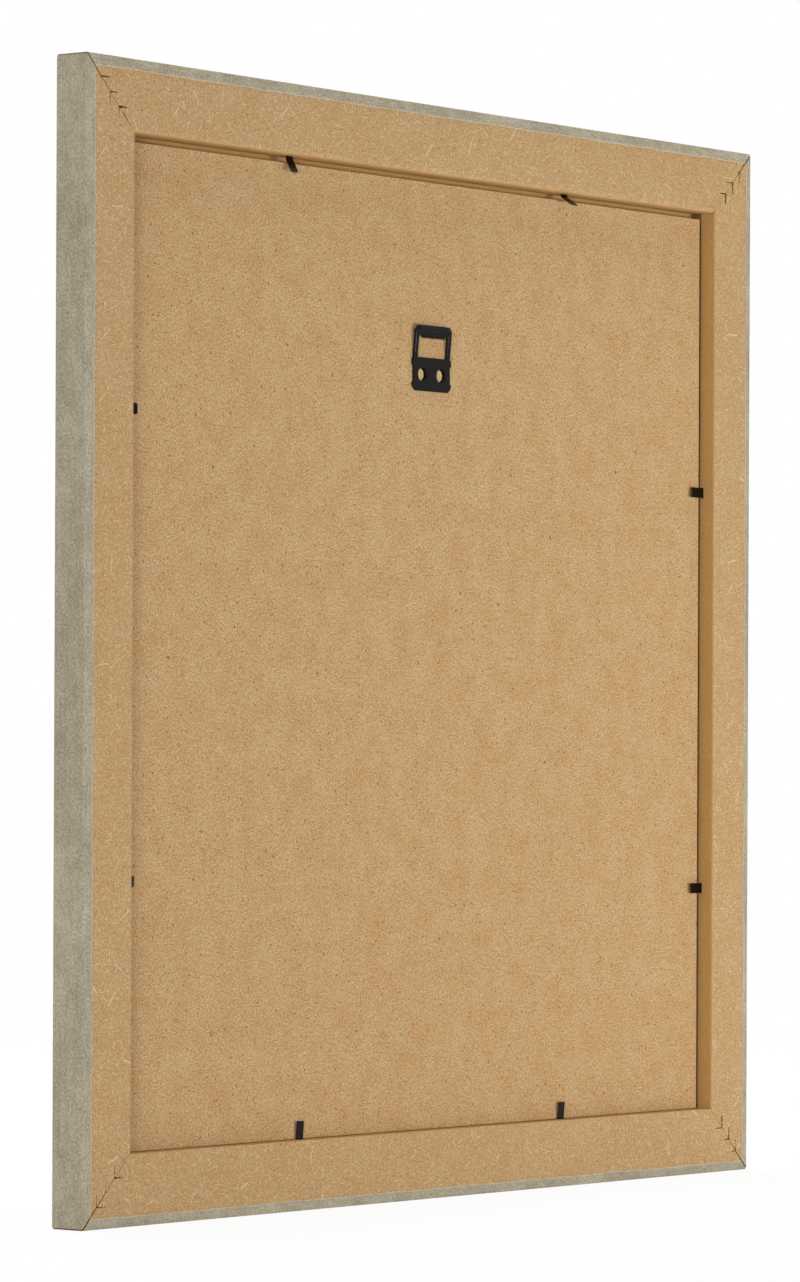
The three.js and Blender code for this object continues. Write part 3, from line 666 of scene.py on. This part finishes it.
def rail_outline(rail):
    """Section of a rail: what the foil covers, the lip's back, the rebate wall and its eased edge."""
    skin = FOIL_THICKNESS + GLUE_LINE
    width, eased = RAIL_WIDTH[rail], REBATE_EDGE[rail]
    return [
        *foil_stretch(skin, FOIL_RETURN[rail]),
        Vector((width, LIP_THICKNESS - FRAME_DEPTH)),
        *arc((width - eased, -skin - eased), eased, 0),
        Vector((MITRE_CLOSES, -skin)),
    ]


def add_prism(work, quarter_turns, outline, back, front):
    """A prism between two depths, over an outline of inwards and along."""
    rings = [[work.verts.new(rail_place(quarter_turns, x, y, z)) for x, z in outline] for y in (back, front)]
    join_rings(work, *rings)
    for ring in rings:
        work.faces.new(ring)


def cut_nail_legs(work, quarter_turns, chance):
    """Adds the cutters for the six nail legs in a rail."""
    skin = FOIL_THICKNESS + GLUE_LINE
    upright = quarter_turns % 2 == 0
    for end, corners in ((-1, CORNER_BEFORE), (1, CORNER_AFTER)):
        for i, widths in enumerate(NAIL_LINES[corners[quarter_turns]]):
            apex = NAIL_FIRST + i * NAIL_PITCH
            half_width = widths[1 if upright else 0] / 2
            x = apex + NAIL_THICKNESS / 2
            lean = chance.uniform(-NAIL_LEAN, NAIL_LEAN)
            reach = NAIL_LEG * chance.uniform(0.8, 1.0)
            start = end * (HALF_SIDE - apex)
            tip = end * (HALF_SIDE - apex - reach)
            outline = [
                (x - half_width, start),
                (x + half_width, start),
                (x + lean + 0.6 * half_width, tip),
                (x + lean - 0.6 * half_width, tip),
            ]
            add_prism(work, quarter_turns, outline, skin, -skin - SLOT_DEPTH)


def cut_mitre_tears(work, quarter_turns):
    """Adds the cutters for the shallow tears along a rail's far mitre."""
    skin = FOIL_THICKNESS + GLUE_LINE
    corner = CORNER_AFTER[quarter_turns]
    if corner in MITRE_TEARS:
        first, last, width = MITRE_TEARS[corner]
        run = last - first
        edge = [(first, -TEAR_OVER), (first + 0.3 * run, width), (first + 0.6 * run, 0.6 * width)]
        outline = [(x, HALF_SIDE - x - inside) for x, inside in (*edge, (last, 0), (last, -TEAR_OVER))]
        add_prism(work, quarter_turns, outline, skin, -skin - TEAR_DEPTH)


print("rail section has", len(rail_outline("top")), "points")


# %% Rails with their slots
SHANK_CLEARANCE = 0.15


def cut_shank_slots(work, rail):
    """Adds the cutters for the slots of the points' shanks in a rail."""
    room = Vector((SHANK_CLEARANCE,) * 3) * MM
    for name in frame["nodes"]:
        if name.startswith(f"point_shank_{rail}"):
            low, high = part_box(name)
            size = Matrix.Diagonal((high - low + 2 * room).to_4d())
            bmesh.ops.create_cube(work, matrix=Matrix.Translation((low + high) / 2) @ size)


def carved(name, solid_work, cutter_work):
    """Mesh of one solid with others cut out of it. It is reckoned in millimetres, which suits the Boolean."""
    pair = []
    for suffix, work in (("_solid", solid_work), ("_cutter", cutter_work)):
        bmesh.ops.recalc_face_normals(work, faces=work.faces)
        mesh = bpy.data.meshes.new(name + suffix)
        work.to_mesh(mesh)
        work.free()
        mesh.transform(Matrix.Scale(PER_MM, 4))
        made = bpy.data.objects.new(name + suffix, mesh)
        bpy.context.scene.collection.objects.link(made)
        pair.append(made)
    body, cutter = pair
    cut = body.modifiers.new("slots", "BOOLEAN")
    cut.operation = "DIFFERENCE"
    cut.solver = "EXACT"
    cut.object = cutter
    depsgraph = bpy.context.evaluated_depsgraph_get()
    result = bpy.data.meshes.new_from_object(body.evaluated_get(depsgraph))
    result.transform(Matrix.Scale(MM, 4))
    work = bmesh.new()
    work.from_mesh(result)
    bpy.data.meshes.remove(result)
    for made in pair:
        mesh = made.data
        bpy.data.objects.remove(made)
        bpy.data.meshes.remove(mesh)
    return work


def mdf_rail(rail, quarter_turns, chance):
    """One rail with narrow slots for its nails, and slots for its points."""
    bar = bmesh.new()
    outline = rail_outline(rail)
    rings = []
    for end in (-1, 1):
        places = [(p, mitre_end(quarter_turns, end, p.x)) for p in outline]
        rings.append([bar.verts.new(rail_place(quarter_turns, p.x, p.y, along)) for p, along in places])
    join_rings(bar, *rings)
    crease = next(i for i, p in enumerate(outline) if p.x == MITRE_CLOSES)
    for ring in rings:
        bar.faces.new(ring[: crease + 1] + ring[-1:])
        bar.faces.new(ring[crease:])
    cutters = bmesh.new()
    cut_nail_legs(cutters, quarter_turns, chance)
    cut_mitre_tears(cutters, quarter_turns)
    cut_shank_slots(cutters, rail)
    name = f"mdf_rail_{rail}"
    made = object_from_bmesh(name, carved(name, bar, cutters), rail_mdf[quarter_turns % 2], 40)
    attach(made, "frame")
    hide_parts(f"rail_{rail}")
    return made


nail_chance = random.Random(5)
rails = [mdf_rail(rail, quarter_turns, nail_chance) for quarter_turns, rail in enumerate(RAILS)]
print("rails, faces:", [len(made.data.polygons) for made in rails])

# %% [markdown]
# Torn fibres.
# A nail driven through the sanded skin tears some fibres up beside it. They are pale slivers a millimetre
# or two long, and catch the light next to the brown lines. Each is a thin tapered strip that starts in the
# surface and curls off it.

# %% Slivers beside the nails
SLIVER_STEPS = 4
SLIVER_HALF_THICK = 0.06
SLIVER_ROOT = 0.05
SLIVERS_PER_MM = 3.5

torn_fibre, tree, shader = start_material("mdf_fibre_torn_up")
place = add_node(tree, "TexCoord").outputs["Object"]
strands = add_node(tree, "TexNoise", {"Vector": place, "Scale": PER_MM / 0.4, "Detail": 2})
colour = add_node(tree, "Mix", [strands, linear("#C9A876"), linear("#EBD7AE")], data_type="RGBA")
link(tree, colour, shader, "Base Color")
shader.inputs["Roughness"].default_value = 0.9
shader.inputs["Specular IOR Level"].default_value = 0.2


def add_sliver(work, root, heading, length, width, rise):
    """A tapered sliver from a root on the rail's back, with its heading in that plane, in millimetres."""
    back = Vector((0, 1, 0))
    side = back.cross(heading)
    rings = []
    for step in range(SLIVER_STEPS + 1):
        t = step / SLIVER_STEPS
        centre = root + (heading * length * t + back * (rise * t * t - SLIVER_ROOT)) * MM
        half_width = side * width / 2 * (1.05 - 0.8 * t) * MM
        half_thick = back * SLIVER_HALF_THICK * MM
        lower = (-half_width - half_thick, half_width - half_thick)
        upper = (half_width + half_thick, half_thick - half_width)
        rings.append([work.verts.new(centre + corner) for corner in lower + upper])
    for first, second in zip(rings, rings[1:]):
        join_rings(work, first, second)
    work.faces.new(rings[0])
    work.faces.new(rings[-1])


def sliver_corner(corner, quarter_turns, chance):
    """The slivers beside the nails of one corner, most where the lines are widest."""
    work = bmesh.new()
    skin = FOIL_THICKNESS + GLUE_LINE
    for i, widths in enumerate(NAIL_LINES[corner]):
        apex = NAIL_FIRST + i * NAIL_PITCH
        for leg, width in enumerate(widths):
            for _ in range(round(SLIVERS_PER_MM * width)):
                along_leg = chance.uniform(0.2, 0.9) * NAIL_LEG
                beside = chance.choice((-1, 1)) * (width / 2 + chance.uniform(0, 0.4))
                inwards, run = apex + beside, HALF_SIDE - apex - along_leg
                if leg == quarter_turns % 2:
                    inwards, run = apex + along_leg, HALF_SIDE - apex - beside
                root = rail_place(quarter_turns, inwards, -skin, run)
                angle = chance.uniform(0, 2 * math.pi)
                heading = Vector((math.cos(angle), 0, math.sin(angle)))
                length = chance.uniform(0.7, 1.9)
                add_sliver(work, root, heading, length, chance.uniform(0.18, 0.3), chance.uniform(0.1, 0.35))
    made = object_from_bmesh(f"torn_fibres_{corner}", work, torn_fibre, 40)
    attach(made, "frame")
    return made


sliver_chance = random.Random(11)
tufts = [sliver_corner(corner, turns, sliver_chance) for turns, corner in enumerate(CORNER_AFTER)]
print("slivers:", [len(made.data.polygons) // (4 * SLIVER_STEPS + 2) for made in tufts])

# %% [markdown]
# Steel.
# The hanger and the points are stamped from thin strip and lacquered black, so they are dark but not dead:
# the lacquer returns a little of the white room, and a bright line of the lamp at each rounded edge. The
# points are sheared off after coating, and their bare edges are metal painted brown, a painted reflection
# of the brown board they face. The corner nails are driven under the surface, and a dull brown coat of
# glue and dust hides their steel.

# %% Steel finishes
black_steel, tree, shader = start_material("steel_strip_black_lacquered")
place = add_node(tree, "TexCoord").outputs["Object"]
peel = add_node(tree, "TexNoise", {"Vector": place, "Scale": PER_MM / 0.5, "Detail": 2})
colour = add_node(tree, "Mix", [peel, linear("#0A0807"), linear("#13100D")], data_type="RGBA")
rough = add_node(tree, "MapRange", [peel, 0.3, 0.7, 0.1, 0.15])
bump = add_node(tree, "Bump", {"Height": peel, "Strength": 0.06, "Distance": 0.00005})
link(tree, colour, shader, "Base Color")
link(tree, rough, shader, "Roughness")
link(tree, bump, shader, "Normal")
shader.inputs["Specular IOR Level"].default_value = 0.09

# Painted reflection: the bare metal is tinted brown for the board it mirrors.
sheared_steel_painted_reflection, tree, shader = start_material("steel_strip_sheared_edge_painted_reflection")
place = add_node(tree, "TexCoord").outputs["Object"]
burr = add_node(tree, "TexNoise", {"Vector": place, "Scale": PER_MM / 0.3, "Detail": 2})
colour = add_node(tree, "Mix", [burr, linear("#4A3626"), linear("#7A5C44")], data_type="RGBA")
link(tree, colour, shader, "Base Color")
shader.inputs["Metallic"].default_value = 1.0
shader.inputs["Roughness"].default_value = 0.45

nail_steel, tree, shader = start_material("steel_strip_punched_and_dusty")
place = add_node(tree, "TexCoord").outputs["Object"]
dirt = add_node(tree, "TexNoise", {"Vector": place, "Scale": PER_MM / 1.5, "Detail": 3})
colour = add_node(tree, "Mix", [dirt, linear("#4A2E17"), linear("#6E4824")], data_type="RGBA")
link(tree, colour, shader, "Base Color")
shader.inputs["Roughness"].default_value = 0.85
shader.inputs["Specular IOR Level"].default_value = 0.1

nail_names = [name for name in frame["nodes"] if name.startswith("v_nail_")]
for name in nail_names:
    dress(name, nail_steel)
print("steel on", len(nail_names), "corner nails")

# %% [markdown]
# Flex points.
# Each point is one strip of steel: a pointed shank in the rail, and a leaf that a thumb bends. The solids
# split it at the bend so that the leaf can turn. Here the strip is one mesh again, lofted along its own
# bent line, and the stretch at the bend turns smoothly from the shank to the leaf.

# %% Bent strips
POINT_THICKNESS = 0.5
POINT_BARB = 2.5
POINT_NOSE = 0.3
POINT_TIP_RADIUS = 0.7
POINT_EDGE = 0.12
BEND_STEPS = 6
BEND_REACH = 0.45
SHEARED_SIDES = (1, 5)


def span(name, pivot, axis):
    """Direction of a node square to its joint's axis, how far it reaches that way, and its width."""
    corners = [v.co - pivot for v in frame["nodes"][name].data.vertices]
    widths = [c.dot(axis) for c in corners]
    flat = [c - axis * c.dot(axis) for c in corners]
    mean = sum(flat, Vector()) / len(flat)
    far = max(flat, key=lambda c: c.dot(mean))
    direction = mean.normalized()
    return direction, far.dot(direction), max(widths) - min(widths)


def strip_half_width(s, length, half):
    """Half the strip's width at a distance from its pointed end: a point, parallel sides, a rounded tip."""
    if s < POINT_BARB:
        return max(POINT_NOSE, half * s / POINT_BARB)
    into_corner = s - (length - POINT_TIP_RADIUS)
    if into_corner <= 0:
        return half
    return half - POINT_TIP_RADIUS + math.sqrt(max(0, POINT_TIP_RADIUS**2 - into_corner**2))


def bent_point(joint):
    """One point as a single strip that bends at its joint."""
    name = joint["name"].removeprefix("bend_")
    pivot = Vector(joint["pos_m"])
    axis = Vector(joint["axis"]).normalized()
    shank_way, shank_reach, width = span(f"point_shank_{name}", pivot, axis)
    leaf_way, leaf_reach, _ = span(f"point_leaf_{name}", pivot, axis)
    shank_mm, leaf_mm = shank_reach / MM, leaf_reach / MM
    length = shank_mm + leaf_mm
    half = width / MM / 2
    stops = [0, POINT_BARB / 2, POINT_BARB, shank_mm / 2 + POINT_BARB / 2, shank_mm - BEND_REACH]
    stops += [shank_mm + BEND_REACH * (2 * i / BEND_STEPS - 1) for i in range(1, BEND_STEPS)]
    stops += [shank_mm + BEND_REACH, shank_mm + leaf_mm / 2]
    stops += [length - POINT_TIP_RADIUS * (1 - math.sin(math.pi / 2 * i / 5)) for i in range(6)]
    work = bmesh.new()
    rings = []
    for s in stops:
        t = s - shank_mm
        turn = min(1, max(0, (t + BEND_REACH) / (2 * BEND_REACH)))
        way = (shank_way * -(1 - turn) + leaf_way * turn).normalized()
        if t <= -BEND_REACH:
            centre = shank_way * -t
        elif t >= BEND_REACH:
            centre = leaf_way * t
        else:
            centre = shank_way * BEND_REACH * (1 - turn) ** 2 + leaf_way * BEND_REACH * turn**2
        up = axis.cross(way).normalized()
        h = strip_half_width(s, length, half)
        edge = min(POINT_EDGE, h / 2)
        thick = POINT_THICKNESS / 2
        corners = [
            (h - edge, thick), (h, thick - edge), (h, edge - thick), (h - edge, -thick),
            (edge - h, -thick), (-h, edge - thick), (-h, thick - edge), (edge - h, thick),
        ]
        rings.append([work.verts.new(pivot + (centre + axis * a + up * b) * MM) for a, b in corners])
    for first, second in zip(rings, rings[1:]):
        for i in range(len(first)):
            j = (i + 1) % len(first)
            face = work.faces.new((first[i], first[j], second[j], second[i]))
            face.material_index = 1 if i in SHEARED_SIDES else 0
    for ring in (rings[0], rings[-1]):
        work.faces.new(ring).material_index = 1
    strip = object_from_bmesh(f"flex_point_{name}", work, black_steel, 30)
    strip.data.materials.append(sheared_steel_painted_reflection)
    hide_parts(f"point_shank_{name}", f"point_leaf_{name}")
    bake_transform(strip)
    return length


lengths = [bent_point(joint) for joint in frame["joints"]]
print("points, length in mm:", [round(v, 1) for v in lengths])

# %% [markdown]
# Hanger.
# The hanger is pressed from sheet, so every edge is a little round and catches a line of light. The solid
# has the true outline but knife-sharp edges. A fine voxel remesh of a copy, smoothed twice, rounds all
# edges alike, as the barrel finishing of small stampings does. The teeth are drawn out a little, so that
# they show.

# %% Rounded hanger
WELD_MM = 0.0005
VOXEL = 0.1
TEETH_HALF_WIDTH = 9
TEETH_REACH = 2
TEETH_STRETCH = 1.6


def baked_copy(name, source, modifiers, material):
    """A new object with the shape of a node after some modifiers. The node itself isn't touched."""
    mesh = source.data.copy()
    mesh.transform(Matrix.Scale(PER_MM, 4))
    work = bpy.data.objects.new(name, mesh)
    bpy.context.scene.collection.objects.link(work)
    for kind, settings in modifiers:
        modifier = work.modifiers.new(kind, kind)
        for key, value in settings.items():
            setattr(modifier, key, value)
    depsgraph = bpy.context.evaluated_depsgraph_get()
    result = bpy.data.meshes.new_from_object(work.evaluated_get(depsgraph))
    result.transform(Matrix.Scale(MM, 4))
    result.name = name
    work.modifiers.clear()
    work.data = result
    bpy.data.meshes.remove(mesh)
    result.materials.clear()
    result.materials.append(material)
    for polygon in result.polygons:
        polygon.use_smooth = True
    return work


hanger = baked_copy(
    "sawtooth_hanger_rounded",
    frame["nodes"]["sawtooth_hanger"],
    [
        ("WELD", {"merge_threshold": WELD_MM}),
        ("REMESH", {"mode": "VOXEL", "voxel_size": VOXEL}),
        ("SMOOTH", {"factor": 0.5, "iterations": 2}),
        ("DECIMATE", {"ratio": 0.3}),
    ],
    black_steel,
)
for vertex in hanger.data.vertices:
    if abs(vertex.co.x) < TEETH_HALF_WIDTH * MM and -TEETH_REACH * MM < vertex.co.z < 0:
        vertex.co.z *= TEETH_STRETCH
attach(hanger, "frame")
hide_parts("sawtooth_hanger")
print("hanger has", len(hanger.data.polygons), "faces")

# %% [markdown]
# Back board.
# The board was sawn from a large sheet, and the saw leaves its edges a little broken. A bevel on a copy of
# the solid does that. The saw also strayed: at the top and at the bottom the board is some tenths of a
# millimetre larger than drawn.

# %% Sawn board
SAWN_EDGE = 0.2
SAWN_ANGLE = math.radians(50)
SAWN_OVER = {"top": 0.8, "bottom": 0.6}
SAWN_REACH = 1

board = baked_copy(
    "back_board_sawn",
    frame["nodes"]["back_board"],
    [
        ("WELD", {"merge_threshold": WELD_MM}),
        ("BEVEL", {"width": SAWN_EDGE, "segments": 2, "limit_method": "ANGLE", "angle_limit": SAWN_ANGLE}),
    ],
    board_mdf,
)
board_low, board_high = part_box("back_board")
for vertex in board.data.vertices:
    if vertex.co.z > board_high.z - SAWN_REACH * MM:
        vertex.co.z += SAWN_OVER["top"] * MM
    elif vertex.co.z < board_low.z + SAWN_REACH * MM:
        vertex.co.z -= SAWN_OVER["bottom"] * MM
for polygon in board.data.polygons:
    polygon.use_smooth = False
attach(board, "frame")
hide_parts("back_board")
print("board has", len(board.data.polygons), "faces")

# %% [markdown]
# Pane and insert sheet.
# From the front the eye goes through the glass to a blank sheet of paper. Float glass is smooth and a
# little green, which only shows at its edge. The paper is uncoated, with a faint cloudy formation.

# %% Glass and paper
glass, tree, shader = start_material("float_glass_cut")
place = add_node(tree, "TexCoord").outputs["Object"]
wave = add_node(tree, "TexNoise", {"Vector": place, "Scale": PER_MM / 60, "Detail": 1})
rough = add_node(tree, "MapRange", [wave, 0.3, 0.7, 0.0, 0.02])
link(tree, rough, shader, "Roughness")
shader.inputs["Base Color"].default_value = linear("#FDFEFD")
shader.inputs["Transmission Weight"].default_value = 1.0
shader.inputs["IOR"].default_value = 1.52

paper, tree, shader = start_material("wood_free_paper_uncoated")
place = add_node(tree, "TexCoord").outputs["Object"]
formation = add_node(tree, "TexNoise", {"Vector": place, "Scale": PER_MM / 4, "Detail": 4})
colour = add_node(tree, "Mix", [formation, linear("#F1EEE5"), linear("#FBF8F0")], data_type="RGBA")
link(tree, colour, shader, "Base Color")
shader.inputs["Roughness"].default_value = 0.9
dress("glazing_pane", glass)
dress("insert_sheet", paper)
print("pane and sheet dressed")
